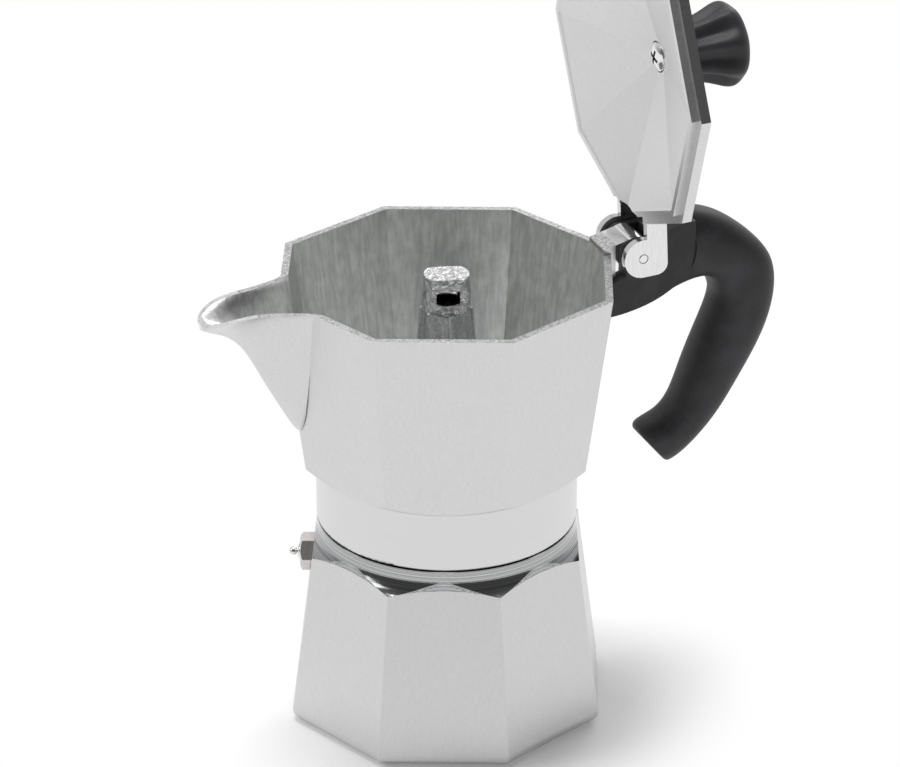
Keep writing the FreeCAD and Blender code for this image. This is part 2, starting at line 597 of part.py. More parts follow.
def make_handle():
    """Moulded handle: a web with two cheeks at the hinge, and a swept grip."""
    rings = []
    for x, z, direction, depth, width in GRIP_SECTIONS:
        along = V(math.cos(math.radians(direction)), 0, math.sin(math.radians(direction)))
        points = []
        for i in range(20):
            angle = 2 * math.pi * i / 20
            c = math.copysign(abs(math.cos(angle)) ** 0.86, math.cos(angle))
            s = math.copysign(abs(math.sin(angle)) ** 0.86, math.sin(angle))
            points.append(V(HINGE_X + x, 0, HINGE_Z + z) + along * (depth * c) + V(0, width * s, 0))
        curve = Part.BSplineCurve()
        curve.interpolate(points, PeriodicFlag=True)
        rings.append(Part.Wire(curve.toShape()))
    grip = Part.makeLoft(rings, True, False)
    ends = [edge for edge in grip.Edges if edge.BoundBox.XMax < HINGE_X + 12.8 and edge.Closed]
    grip = grip.makeFillet(1.6, ends)
    low_x = collector_radius(HINGE_Z - 20.2) - 2
    belly = [V(low_x, 0, HINGE_Z - 16.4)]
    for x, z in ((0.8, -14.8), (6.6, -12.6), (11.2, -10.0), (15.8, -8.6)):
        belly.append(V(HINGE_X + x, 0, HINGE_Z + z))
    lower = Part.BSplineCurve()
    lower.interpolate(belly)
    back = V(HINGE_X + 15.8, 0, HINGE_Z + 7.3)
    dip = V(HINGE_X + 5.4, 0, HINGE_Z + 4.2)
    brow = V(HINGE_X, 0, HINGE_Z + CHEEK_R)
    left = HINGE_X - CHEEK_R
    chin = V(left, 0, HINGE_Z - 5.6)
    heel = V(low_x, 0, HINGE_Z - 7.6)
    crest = Part.Arc(back, V(HINGE_X + 10.3, 0, HINGE_Z + 6.8), dip)
    nose = Part.Arc(dip, V(HINGE_X + 2.8, 0, HINGE_Z + CHEEK_R + 0.05), brow)
    cheek = V(HINGE_X - CHEEK_R * 0.7071, 0, HINGE_Z + CHEEK_R * 0.7071)
    round_top = Part.Arc(brow, cheek, V(left, 0, HINGE_Z))
    web_wire = Part.Wire([
        lower.toShape(), Part.LineSegment(belly[-1], back).toShape(), crest.toShape(), nose.toShape(),
        round_top.toShape(), Part.LineSegment(V(left, 0, HINGE_Z), chin).toShape(),
        Part.LineSegment(chin, heel).toShape(), Part.LineSegment(heel, belly[0]).toShape(),
    ])
    web = Part.Face(web_wire)
    web.translate(V(0, -HANDLE_HALF, 0))
    web = web.extrude(V(0, 2 * HANDLE_HALF, 0))
    handle = grip.fuse(web)
    outer = cross_cylinder(POCKET_R, HINGE_X, HINGE_Z, HANDLE_HALF, 30)
    other = cross_cylinder(POCKET_R, HINGE_X, HINGE_Z, -30, -HANDLE_HALF)
    handle = handle.cut(outer).cut(other)
    room = LUG_HALF + HANDLE_FIT
    reach = LUG_R + 0.4
    slot = cross_cylinder(reach, HINGE_X, HINGE_Z, -room, room)
    inner_x = RIM_R - 16
    slot = slot.fuse(plate([(inner_x, HINGE_Z + 12), (inner_x, HINGE_Z - 10.9), (HINGE_X - 4, HINGE_Z - 8.2),
                            (HINGE_X + reach * 0.75, HINGE_Z - reach * 0.75), (HINGE_X + reach, HINGE_Z),
                            (HINGE_X + reach, HINGE_Z + 12)], -room, room))
    handle = handle.cut(slot)
    handle = handle.cut(collector_solid(HANDLE_FIT))
    return handle.cut(cross_cylinder(PIN_R + 0.02, HINGE_X, HINGE_Z, -20, 20))


def make_hinge_pin():
    """Plain pin with its ends flush with the ears."""
    pin = cross_cylinder(PIN_R, HINGE_X, HINGE_Z, -EAR_OUT - 0.1, EAR_OUT + 0.1)
    return pin.makeChamfer(0.25, [edge for edge in pin.Edges if edge.Closed and edge.BoundBox.YLength < 0.1])


def make_lid():
    """Octagonal lid, closed: skirt, shallow pyramid, locating rib, panel, boss and two ears."""
    skirt_top = LID_Z + LID_SKIRT
    lid = soften(frustum(LID_R, LID_Z, LID_R, skirt_top), EDGE_ROUND)
    lid = lid.fuse(frustum(LID_R - 0.5, skirt_top - 0.01, LID_BOSS_R, LID_BOSS_Z))
    lid = lid.fuse(cylinder(LID_BOSS_R, LID_SEAT_Z, LID_BOSS_Z + LID_BOSS_RISE))
    lid = lid.fuse(frustum(LID_RIB_R, LID_Z - LID_RIB_DROP, LID_RIB_R, LID_Z + 0.5))
    under_z = LID_Z - LID_RIB_DROP - 0.01
    panel_z = LID_Z - LID_PANEL_DROP
    lid = lid.cut(frustum(LID_PANEL_R + 0.8, under_z, LID_PANEL_R, panel_z))
    lid = lid.cut(frustum(LID_PANEL_R, panel_z - 0.001, LID_SEAT_R, LID_SEAT_Z))
    room = HANDLE_HALF + SIDE_PLAY
    lid = lid.cut(box(LID_NOTCH_X, 60, -room, room, LID_Z - 5, LID_BOSS_Z))
    top = HINGE_Z + EAR_RISE
    corner = 3.0
    root_x = LID_NOTCH_X - 1.5
    for side in (-1, 1):
        low = EAR_IN if side > 0 else -EAR_OUT
        high = low + EAR_THICKNESS
        ear = plate([(root_x, LID_Z + 0.2), (HINGE_X - EAR_LOBE_R + 0.3, LID_Z + 0.2),
                     (HINGE_X - EAR_LOBE_R + 0.3, HINGE_Z), (HINGE_X + EAR_LOBE_R, HINGE_Z),
                     (HINGE_X + EAR_LOBE_R, top), (root_x, top)], low, high)
        rounded = [edge for edge in ear.Edges if edge.BoundBox.XMin > HINGE_X + EAR_LOBE_R - 0.01
                   and edge.BoundBox.ZMin > top - 0.01]
        ear = ear.makeFillet(corner, rounded)
        ear = ear.fuse(cross_cylinder(EAR_LOBE_R, HINGE_X, HINGE_Z, low, high))
        lid = lid.fuse(ear)
    lid = lid.cut(cross_cylinder(PIN_R + PIN_PLAY, HINGE_X, HINGE_Z, -20, 20))
    hole = cylinder(SCREW_R + 0.15, LID_SEAT_Z - 5, LID_BOSS_Z + 5)
    sink = cylinder(SCREW_HEAD_R + 0.2, LID_SEAT_Z - 3, LID_SEAT_Z + 0.8)
    return lid.cut(hole).cut(sink)


def make_knob():
    """Fluted knob with its threaded insert and its screw, standing on the closed lid."""
    z = LID_BOSS_Z + LID_BOSS_RISE
    rings = []
    for rise, radius, depth in KNOB_SECTIONS:
        points = []
        count = 6 * KNOB_FLUTES
        for i in range(count):
            angle = 2 * math.pi * i / count
            r = radius - depth * (1 + math.cos(KNOB_FLUTES * angle)) / 2
            points.append(V(r * math.cos(angle), r * math.sin(angle), z + rise * KNOB_HEIGHT))
        curve = Part.BSplineCurve()
        curve.interpolate(points, PeriodicFlag=True)
        rings.append(Part.Wire(curve.toShape()))
    knob = Part.makeLoft(rings, True, False)
    insert = cylinder(INSERT_R, z, z + INSERT_LENGTH)
    bore = cylinder(SCREW_R + SCREW_PLAY, z - 1, z + INSERT_LENGTH + 1)
    knob = knob.cut(insert).cut(cylinder(SCREW_R + SCREW_PLAY, z, z + INSERT_LENGTH + 2))
    insert = insert.cut(bore)
    seat = LID_SEAT_Z + 0.8
    screw = turned([(0, seat - SCREW_HEAD_HEIGHT), (SCREW_HEAD_R * 0.5, seat - SCREW_HEAD_HEIGHT * 0.94, 0),
                    (SCREW_HEAD_R - 0.2, seat - SCREW_HEAD_HEIGHT * 0.55), (SCREW_HEAD_R, seat - 0.5),
                    (SCREW_HEAD_R, seat), (SCREW_R, seat), (SCREW_R, seat + SCREW_LENGTH),
                    (0, seat + SCREW_LENGTH)])
    for turn in (20, 110):
        slot = box(-2.1, 2.1, -0.45, 0.45, seat - 4, seat - 0.7)
        slot.rotate(V(0, 0, 0), V(0, 0, 1), turn)
        screw = screw.cut(slot)
    return knob, insert, screw


def opened(shape):
    """Swing a piece of the closed lid to its open stop."""
    shape = shape.copy()
    shape.rotate(V(HINGE_X, 0, HINGE_Z), V(0, 1, 0), OPEN_ANGLE)
    return shape


os.makedirs("parts", exist_ok=True)
save("boiler", make_boiler())
valve_names = ("valve_body", "valve_cap", "valve_pin", "valve_seal", "valve_spring")
for name, piece in zip(valve_names, make_valve()):
    save(name, piece)
for name, piece in zip(("funnel_basket", "funnel_tube", "funnel_strainer"), make_funnel()):
    save(name, piece)
for name, piece in zip(("gasket", "filter_disc"), make_filter_pack()):
    save(name, piece)
save("collector", make_collector())
save("handle", make_handle(), refine=False)
save("hinge_pin", make_hinge_pin())
save("lid", opened(make_lid()))
for name, piece in zip(("knob", "knob_insert", "knob_screw"), make_knob()):
    save(name, opened(piece))
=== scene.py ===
"""Looks of a stove-top moka pot with its lid open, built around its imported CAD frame.

Lengths are in millimetres, apart from the places and sizes of the lamps and the camera, which are in metres.
The origin is the middle of the base's underside, +Z is up, +X points to the handle and -X to the spout.
"""

import logging
import math
from dataclasses import dataclass
from enum import Enum
from typing import Any, Sequence

import bpy
import numpy as np
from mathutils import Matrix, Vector


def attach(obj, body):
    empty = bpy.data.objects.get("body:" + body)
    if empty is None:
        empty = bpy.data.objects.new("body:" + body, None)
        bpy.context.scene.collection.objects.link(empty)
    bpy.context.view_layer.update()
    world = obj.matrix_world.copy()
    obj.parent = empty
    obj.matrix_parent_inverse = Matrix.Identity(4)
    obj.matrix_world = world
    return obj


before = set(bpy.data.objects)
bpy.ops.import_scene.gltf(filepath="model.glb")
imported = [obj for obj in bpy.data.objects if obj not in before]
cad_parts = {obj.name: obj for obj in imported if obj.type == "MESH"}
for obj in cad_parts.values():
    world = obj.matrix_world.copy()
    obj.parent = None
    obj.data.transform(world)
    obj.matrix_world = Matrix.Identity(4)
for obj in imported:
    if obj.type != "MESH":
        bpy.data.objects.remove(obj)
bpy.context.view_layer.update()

LOG = logging.getLogger("moka_pot")
MM = 0.001
FACETS = 8
HALF_TURN = math.pi / FACETS
COS_HALF = math.cos(HALF_TURN)
WHITE = (1.0, 1.0, 1.0, 1.0)
Colour = tuple[float, float, float]
Shades = tuple[Colour, Colour]
Values = dict[Any, Any]


# ---------------------------------------------------------------- shader writing


class Signal:
    """A number that varies over a surface. Its arithmetic adds Math nodes."""

    def __init__(self, graph: "Graph", socket: bpy.types.NodeSocket | None) -> None:
        """Wrap one output socket of a graph, or none after an output node."""
        self.graph = graph
        self.socket = socket

    def _math(self, operation: str, *terms: Any) -> "Signal":
        """Add one Math node fed by the terms, in order."""
        return self.graph.node("ShaderNodeMath", {"operation": operation}, dict(enumerate(terms)))

    def __add__(self, other: Any) -> "Signal":
        """Sum."""
        return self._math("ADD", self, other)

    def __radd__(self, other: Any) -> "Signal":
        """Sum, from the right."""
        return self._math("ADD", other, self)

    def __sub__(self, other: Any) -> "Signal":
        """Difference."""
        return self._math("SUBTRACT", self, other)

    def __rsub__(self, other: Any) -> "Signal":
        """Difference, from the right."""
        return self._math("SUBTRACT", other, self)

    def __mul__(self, other: Any) -> "Signal":
        """Product."""
        return self._math("MULTIPLY", self, other)

    def __rmul__(self, other: Any) -> "Signal":
        """Product, from the right."""
        return self._math("MULTIPLY", other, self)

    def __abs__(self) -> "Signal":
        """Size without its sign."""
        return self._math("ABSOLUTE", self)

    def __gt__(self, other: Any) -> "Signal":
        """1 where this is greater, else 0."""
        return self._math("GREATER_THAN", self, other)

    def __lt__(self, other: Any) -> "Signal":
        """1 where this is less, else 0."""
        return self._math("LESS_THAN", self, other)

    def larger(self, other: Any) -> "Signal":
        """The larger of two values."""
        return self._math("MAXIMUM", self, other)

    def root(self) -> "Signal":
        """Square root."""
        return self._math("SQRT", self)

    def ramp(self, low: float, high: float, start: float = 0.0, end: float = 1.0) -> "Signal":
        """Smooth step from start at low to end at high.

        Args:
            low: value where the step begins.
            high: value where it ends.
            start: result at low.
            end: result at high.

        Returns:
            The stepped signal.
        """
        return self.graph.node(
            "ShaderNodeMapRange", {"interpolation_type": "SMOOTHSTEP"},
            {"Value": self, "From Min": low, "From Max": high, "To Min": start, "To Max": end})


@dataclass
class Place:
    """Three signals that say where a point of the surface is, in millimetres."""

    x: Signal
    y: Signal
    z: Signal

    def radius(self) -> Signal:
        """Distance from the pot's axis."""
        return (self.x * self.x + self.y * self.y).root()

    def across(self) -> Signal:
        """Octagonal distance from the axis: the largest |x cos a + y sin a| over the four pairs of flats."""
        reach = None
        for pair in range(FACETS // 2):
            angle = HALF_TURN + pair * 2 * HALF_TURN
            side = abs(self.x * math.cos(angle) + self.y * math.sin(angle))
            reach = side if reach is None else reach.larger(side)
        return reach


class Graph:
    """The node tree of one material."""

    def __init__(self, tree: bpy.types.NodeTree) -> None:
        """Start from an empty tree."""
        tree.nodes.clear()
        self.tree = tree

    def node(self, kind: str, settings: Values, inputs: Values, output: Any = 0) -> Signal:
        """Add a node.

        Args:
            kind: the node's type.
            settings: its own properties, set before the sockets.
            inputs: values or signals for its sockets, by name or index.
            output: name or index of the output that is returned.

        Returns:
            One output socket as a signal.
        """
        made = self.tree.nodes.new(kind)
        for name, value in settings.items():
            setattr(made, name, value)
        for key, value in inputs.items():
            socket = made.inputs[key]
            if isinstance(value, Signal):
                self.tree.links.new(value.socket, socket)
            else:
                socket.default_value = value
        return Signal(self, made.outputs[output] if made.outputs else None)

    def place(self) -> Place:
        """Object coordinates, in millimetres."""
        spot = self.node("ShaderNodeTexCoord", {}, {}, "Object")
        metric = self.node("ShaderNodeVectorMath", {"operation": "SCALE"}, {0: spot, "Scale": 1 / MM})
        return self.split(metric)

    def turned_place(self, pivot: Sequence[float], degrees: float) -> Place:
        """Object coordinates, in millimetres, turned back about an axis parallel to Y.

        Args:
            pivot: a point of the axis, in millimetres.
            degrees: how far the piece was swung.

        Returns:
            Where the point was before the swing.
        """
        here = self.place()
        angle = math.radians(degrees)
        x = here.x - pivot[0]
        z = here.z - pivot[2]
        return Place(x * math.cos(angle) - z * math.sin(angle) + pivot[0], here.y,
                     x * math.sin(angle) + z * math.cos(angle) + pivot[2])

    def facing(self) -> Place:
        """The surface's own normal in the piece's frame."""
        return self.split(self.node("ShaderNodeTexCoord", {}, {}, "Normal"))

    def split(self, vector: Signal) -> Place:
        """The three parts of a vector."""
        node = self.tree.nodes.new("ShaderNodeSeparateXYZ")
        self.tree.links.new(vector.socket, node.inputs[0])
        return Place(*(Signal(self, node.outputs[i]) for i in range(3)))

    def join(self, x: Any, y: Any, z: Any) -> Signal:
        """A vector from three values."""
        return self.node("ShaderNodeCombineXYZ", {}, {0: x, 1: y, 2: z})

    def noise(self, where: Signal, scale: float = 1.0, detail: float = 2.0, roughness: float = 0.5) -> Signal:
        """Fractal noise from 0 to 1 with a middle of one half."""
        return self.node("ShaderNodeTexNoise", {"noise_dimensions": "3D"},
                         {"Vector": where, "Scale": scale, "Detail": detail, "Roughness": roughness})

    def tint(self, amount: Any, first: Colour, second: Colour) -> Signal:
        """Colour from first, where amount is 0, to second, where it is 1."""
        return self.node("ShaderNodeMix", {"data_type": "RGBA"},
                         {"Factor": amount, 6: (*first, 1.0), 7: (*second, 1.0)}, 2)

    def over(self, amount: Any, base: Signal, top: Any) -> Signal:
        """A colour laid over another by an amount."""
        laid = top if isinstance(top, Signal) else (*top, 1.0)
        return self.node("ShaderNodeMix", {"data_type": "RGBA"}, {"Factor": amount, 6: base, 7: laid}, 2)

    def relief(self, height: Signal, depth: float) -> Signal:
        """Normal of a surface raised by height times depth millimetres."""
        return self.node("ShaderNodeBump", {}, {"Height": height, "Distance": depth * MM, "Strength": 1.0})


@dataclass(frozen=True)
class Finish:
    """A surface finish. Subclasses say how it varies."""

    name: str

    def paint(self, graph: Graph) -> Values:
        """Inputs of the Principled shader, as numbers or signals."""
        raise NotImplementedError

    def material(self) -> bpy.types.Material:
        """The finish's material, made once."""
        found = bpy.data.materials.get(self.name)
        if found is not None:
            return found
        made = bpy.data.materials.new(self.name)
        made.use_nodes = True
        graph = Graph(made.node_tree)
        shader = graph.node("ShaderNodeBsdfPrincipled", {}, self.paint(graph))
        graph.node("ShaderNodeOutputMaterial", {}, {"Surface": shader})
        return made

    def dress(self, *pieces: bpy.types.Object) -> None:
        """Give pieces this finish in place of any other."""
        for piece in pieces:
            piece.data.materials.clear()
            piece.data.materials.append(self.material())


# ---------------------------------------------------------------- finishes


def scaled(colour: Colour, factor: float) -> Colour:
    """A colour times a factor, at most white."""
    return tuple(min(1.0, factor * part) for part in colour)


def blend(mask: Signal, base: Signal, top: Any) -> Signal:
    """The base value where the mask is 0, the top value where it is 1."""
    return base * (1 - mask) + mask * top


def around(middle: float, wave: Signal, swing: float) -> Signal:
    """A value that sways about its middle as a noise does, by half the swing each way."""
    return (wave - 0.5) * swing + middle


def lathe_lines(graph: Graph, here: Place) -> Signal:
    """Fine circular tool marks: noise that changes only with the radius and the height."""
    return graph.noise(graph.join(here.radius() * 5.0, 0.0, here.z * 5.0), 1.0, 3.0, 0.7)


def upright_grain(graph: Graph, here: Place) -> Signal:
    """Fine upright brushing: noise stretched along the height."""
    return graph.noise(graph.join(here.x * 3.2, here.y * 3.2, here.z * 0.16), 1.0, 3.0, 0.65)


def cloud(graph: Graph, here: Place, scale: float) -> Signal:
    """Soft mottling with spots of about 1 / scale millimetres."""
    return graph.noise(graph.join(here.x, here.y, here.z), scale, 3.0, 0.55)


@dataclass(frozen=True)
class CastSkin(Finish):
    """Satin cast aluminium with brushed flanks. Subclasses add the faces that are cut or ground."""

    flank: Colour = (0.66, 0.662, 0.66)
    rough: float = 0.36

    def satin(self, graph: Graph, here: Place) -> tuple[Signal, Signal, Signal]:
        """The flanks' colour, roughness and relief height.

        Args:
            graph: the material's graph.
            here: the point's place.

        Returns:
            Colour, roughness and height.
        """
        grain = upright_grain(graph, here)
        weave = graph.noise(graph.join(here.x * 1.1, here.y * 1.1, here.z * 4.0), 1.0, 2.0, 0.6)
        mottle = cloud(graph, here, 0.09)
        tone = grain * 0.45 + weave * 0.4 + mottle * 0.15
        colour = graph.tint(tone.ramp(0.32, 0.68), scaled(self.flank, 0.94), scaled(self.flank, 1.05))
        rough = around(self.rough, grain, 0.12) + (mottle - 0.5) * 0.08
        return colour, rough, grain * 0.7 + weave * 0.3


@dataclass(frozen=True)
class BoilerSkin(CastSkin):
    """The boiler: brushed flanks below the turned shoulder, hollow curve and neck, dull inside. The turned
    faces and the underside carry a painted dark reflection.
    """

    shoulder_z: float = 47.8
    shoulder_r: float = 37.883
    slope: float = 0.577
    cove: tuple[float, float] = (50.4, 52.2)
    bore_r: float = 33.6
    neck_bore_r: float = 26.0
    neck_z: float = 52.0
    flare: float = 0.35
    floor_z: float = 1.2
    base_z: float = 0.05
    margin: float = 0.06
    # Painted reflection: the two pairs below darken the turned shoulder, the underside, the hollow curve and
    # the neck to stand for the dark room they mirror.
    shoulder_painted_reflection: Shades = ((0.2, 0.205, 0.21), (0.5, 0.505, 0.51))
    cove_painted_reflection: Shades = ((0.2, 0.205, 0.21), (0.6, 0.6, 0.6))
    bore_shades: Shades = ((0.36, 0.36, 0.36), (0.5, 0.5, 0.5))

    def paint(self, graph: Graph) -> Values:
        """Inputs of the shader."""
        here = graph.place()
        colour, rough, height = self.satin(graph, here)
        radius = here.radius()
        lines = lathe_lines(graph, here)
        turned = (here.z - ((self.shoulder_r - radius) * self.slope + self.shoulder_z)) > -self.margin
        cut = turned.larger(here.z < self.base_z)
        mouth = self.neck_bore_r + (self.neck_z - here.z) * self.flare
        bore = (radius < mouth) * (radius < self.bore_r) * (here.z > self.floor_z)
        # Painted reflection: the hollow curve, the neck, the turned shoulder and the underside get darkened
        # colours in place of the dark room they mirror.
        cove = graph.tint(lines.ramp(0.3, 0.7), *self.cove_painted_reflection)
        shoulder = graph.tint(lines.ramp(0.34, 0.66), *self.shoulder_painted_reflection)
        colour = graph.over(cut, colour, graph.over(here.z.ramp(*self.cove), shoulder, cove))
        colour = graph.over(bore, colour, graph.tint(cloud(graph, here, 0.25), *self.bore_shades))
        rough = blend(cut, rough, around(0.14, lines, 0.18))
        rough = blend(bore, rough, 0.55)
        height = blend(cut, height, lines * 0.8)
        normal = graph.relief(height, 0.012)
        return {"Base Color": colour, "Metallic": 1.0, "Roughness": rough, "Normal": normal}


@dataclass(frozen=True)
class CollectorSkin(CastSkin):
    """The collector: brushed flanks, turned collar, dull inside lightened by painted light with painted
    highlight streaks, ground rim, cast column with a painted-shade throat, bright lug.
    """

    rim_z: float = 124.0
    foot_z: float = 74.4
    foot_r: float = 39.258
    draft: float = 0.13593
    undercut: float = 0.66
    wall: float = 1.9
    margin: float = 0.03
    spout_x: float = -38.6
    spout_z: float = 84.0
    lug_x: float = 45.35
    column_r: float = 11.5
    head_height: float = 9.8
    throat_r: float = 4.15
    throat_depth: float = 3.5
    turned_shades: Shades = ((0.6, 0.605, 0.605), (0.76, 0.76, 0.76))
    # Painted light: the inside pair is lighter than the flanks, standing for light that reaches into the cup.
    inside_painted_light: Shades = ((0.62, 0.63, 0.62), (0.88, 0.89, 0.88))
    rim_shades: Shades = ((0.26, 0.265, 0.26), (0.74, 0.74, 0.74))
    column_shades: Shades = ((0.42, 0.425, 0.43), (0.66, 0.665, 0.67))
    head_shades: Shades = ((0.46, 0.465, 0.46), (0.8, 0.8, 0.8))
    # Painted shade: the column's hole is near black below its mouth, standing for the shade inside it.
    throat_painted_shade: Colour = (0.012, 0.012, 0.012)
    lug_colour: Colour = (0.9, 0.9, 0.9)

    def paint(self, graph: Graph) -> Values:
        """Inputs of the shader."""
        here = graph.place()
        facing = graph.facing()
        colour, rough, height = self.satin(graph, here)
        radius = here.radius()
        lines = lathe_lines(graph, here)
        flat = (here.z - self.foot_z) * (self.draft * COS_HALF) + self.foot_r * COS_HALF
        turned = (here.z - ((radius - self.foot_r) * self.undercut + self.foot_z)) < 0.08
        below_rim = here.z < self.rim_z - self.margin
        cup = ((flat - here.across()) > self.wall * 0.5) * (here.z > self.foot_z) * below_rim
        channel = (here.x < self.spout_x) * (facing.z > -0.02) * below_rim * (here.z > self.spout_z)
        inner = cup.larger(channel)
        rim = (here.z > self.rim_z - self.margin) * (facing.z > 0.9)
        column = (radius < self.column_r) * (here.z > self.foot_z + 2.0)
        head = here.z > self.rim_z - self.head_height
        throat = (radius < self.throat_r) * (here.z < self.rim_z - self.throat_depth) * head
        lug = here.x > self.lug_x

        # Upright streak noise: real brushing in the roughness and relief, painted highlight streaks where it
        # tints the inside and the column.
        grain_and_sheen = graph.noise(graph.join(here.x * 0.9, here.y * 0.9, here.z * 0.05), 1.0, 2.0, 0.6)
        grit = graph.noise(graph.join(here.x, here.y, here.z), 1.6, 4.0, 0.7)
        lump = graph.noise(graph.join(here.x, here.y, here.z), 0.55, 3.0, 0.6)
        # Inside and column tones: a random mottle plus painted upright highlight streaks.
        mottle_and_sheen = (grain_and_sheen * 0.6 + cloud(graph, here, 0.3) * 0.4).ramp(0.3, 0.7)
        speck_and_sheen = (grain_and_sheen * 0.5 + cloud(graph, here, 0.8) * 0.5).ramp(0.3, 0.7)
        cast = graph.over(head, graph.tint(speck_and_sheen, *self.column_shades),
                          graph.tint(lump.ramp(0.35, 0.65), *self.head_shades))

        colour = graph.over(turned, colour, graph.tint(lines, *self.turned_shades))
        # Painted light on the inside: lifted tones with painted highlight streaks.
        colour = graph.over(inner, colour, graph.tint(mottle_and_sheen, *self.inside_painted_light))
        colour = graph.over(rim, colour, graph.tint(grit.ramp(0.3, 0.7), *self.rim_shades))
        colour = graph.over(column, colour, cast)
        # Painted shade deep in the column's hole.
        colour = graph.over(throat, colour, self.throat_painted_shade)
        colour = graph.over(lug, colour, self.lug_colour)

        rough = blend(turned, rough, around(0.3, lines, 0.2))
        rough = blend(inner, rough, around(0.36, grain_and_sheen, 0.2))
        rough = blend(rim, rough, 0.42)
        rough = blend(column, rough, grit * 0.2 + 0.16) + throat * 0.5
        rough = blend(lug, rough, 0.1)
        height = blend(turned, height, lines)
        height = blend(inner, height, grain_and_sheen)
        height = blend(rim, height, grit * 3.0)
        height = blend(column, height, head * lump * 60.0 + grit * 2.0)
        height = height * (1 - lug)
        normal = graph.relief(height, 0.014)
        return {"Base Color": colour, "Metallic": 1.0, "Roughness": rough, "Normal": normal}


@dataclass(frozen=True)
class LidSkin(CastSkin):
    """The lid: satin, with brushed ears and a smoother edge. Marks follow the closed lid."""

    pivot: tuple[float, float, float] = (51.2, 0.0, 123.2)
    swing: float = 87.0
    ear_y: float = 9.5
    ear_x: float = 38.0
    skirt: float = 41.85
    ear_shades: Shades = ((0.6, 0.6, 0.6), (0.92, 0.92, 0.92))

    def paint(self, graph: Graph) -> Values:
        """Inputs of the shader."""
        here = graph.turned_place(self.pivot, self.swing)
        colour, rough, height = self.satin(graph, here)
        side = abs(here.y)
        ear = (side > self.ear_y - 0.05) * (side < self.ear_y + 0.12) * (here.x > self.ear_x)
        edge = (here.across() > self.skirt) * (1 - ear)
        streak = graph.noise(graph.join(here.x * 0.25, here.y * 3.0, here.z * 6.0), 1.0, 3.0, 0.7)
        colour = graph.over(ear, colour, graph.tint(streak, *self.ear_shades))
        rough = blend(ear, rough, around(0.24, streak, 0.2))
        rough = blend(edge, rough, around(0.14, streak, 0.1))
        height = blend(ear, height, streak * 2.0)
        normal = graph.relief(height, 0.01)
        return {"Base Color": colour, "Metallic": 1.0, "Roughness": rough, "Normal": normal}


@dataclass(frozen=True)
class BrightMetal(Finish):
    """Polished or plated metal with faint wear marks."""

    colour: Colour = (0.83, 0.82, 0.8)
    rough: float = 0.14
    grain: float = 1.2

    def paint(self, graph: Graph) -> Values:
        """Inputs of the shader."""
        marks = cloud(graph, graph.place(), self.grain)
        return {"Base Color": graph.tint(marks, scaled(self.colour, 0.86), self.colour), "Metallic": 1.0,
                "Roughness": around(self.rough, marks, 0.16), "Normal": graph.relief(marks, 0.01)}


@dataclass(frozen=True)
class SpunSheet(Finish):
    """Thin spun aluminium sheet with circular tool lines."""

    colour: Colour = (0.8, 0.805, 0.81)
    rough: float = 0.28

    def paint(self, graph: Graph) -> Values:
        """Inputs of the shader."""
        lines = lathe_lines(graph, graph.place())
        return {"Base Color": graph.tint(lines, scaled(self.colour, 0.84), self.colour), "Metallic": 1.0,
                "Roughness": around(self.rough, lines, 0.2), "Normal": graph.relief(lines, 0.01)}


@dataclass(frozen=True)
class BlackMoulding(Finish):
    """Black heat-proof moulding with a fine satin texture and a few rubbed patches."""

    colour: Colour = (0.032, 0.032, 0.035)
    rough: float = 0.5

    def paint(self, graph: Graph) -> Values:
        """Inputs of the shader."""
        here = graph.place()
        pores = graph.noise(graph.join(here.x, here.y, here.z), 3.2, 3.0, 0.6)
        rub = cloud(graph, here, 0.12)
        return {"Base Color": graph.tint(rub.ramp(0.35, 0.75), self.colour, scaled(self.colour, 1.7)),
                "Specular IOR Level": 0.3,
                "Roughness": around(self.rough, rub, 0.2) + (pores - 0.5) * 0.08,
                "Normal": graph.relief(pores, 0.022)}


@dataclass(frozen=True)
class Rubber(Finish):
    """Matt rubber or silicone."""

    colour: Colour = (0.45, 0.06, 0.04)
    rough: float = 0.6

    def paint(self, graph: Graph) -> Values:
        """Inputs of the shader."""
        dust = cloud(graph, graph.place(), 0.8)
        return {"Base Color": graph.tint(dust, scaled(self.colour, 0.8), self.colour),
                "Roughness": around(self.rough, dust, 0.2), "Normal": graph.relief(dust, 0.02)}


class Slot(Enum):
    """Material slots of the record."""

    CAST = "cast_aluminium"


# ---------------------------------------------------------------- mesh writing


def wrap_grid(points: np.ndarray, closed_u: bool, closed_v: bool) -> np.ndarray:
    """Quads of a grid of points.

    Args:
        points: array of shape (u, v, 3).
        closed_u: whether the last row joins the first.
        closed_v: whether the last column joins the first.

    Returns:
        Array of vertex numbers, four to a quad.
    """
    rows, columns = points.shape[:2]
    numbers = np.arange(rows * columns).reshape(rows, columns)
    if closed_u:
        numbers = np.vstack([numbers, numbers[:1]])
    if closed_v:
        numbers = np.hstack([numbers, numbers[:, :1]])
    corners = (numbers[:-1, :-1], numbers[1:, :-1], numbers[1:, 1:], numbers[:-1, 1:])
    return np.stack([corner.ravel() for corner in corners], axis=1)


def write_mesh(name: str, points: np.ndarray, faces: list[list[int]]) -> bpy.types.Object:
    """Smooth-shaded object at the origin from points in millimetres.

    Args:
        name: the piece's name.
        points: array of shape (n, 3).
        faces: vertex numbers of each face.

    Returns:
        The new object, linked to the scene.
    """
    mesh = bpy.data.meshes.new(name)
    mesh.from_pydata((points * MM).tolist(), [], faces)
    mesh.validate()
    mesh.shade_smooth()
    piece = bpy.data.objects.new(name, mesh)
    bpy.context.scene.collection.objects.link(piece)
    return piece


def place_piece(piece: bpy.types.Object, body: str, finish: Finish) -> bpy.types.Object:
    """Let a new piece ride on a body and give it its finish."""
    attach(piece, body)
    finish.dress(piece)
    return piece


# ---------------------------------------------------------------- studio


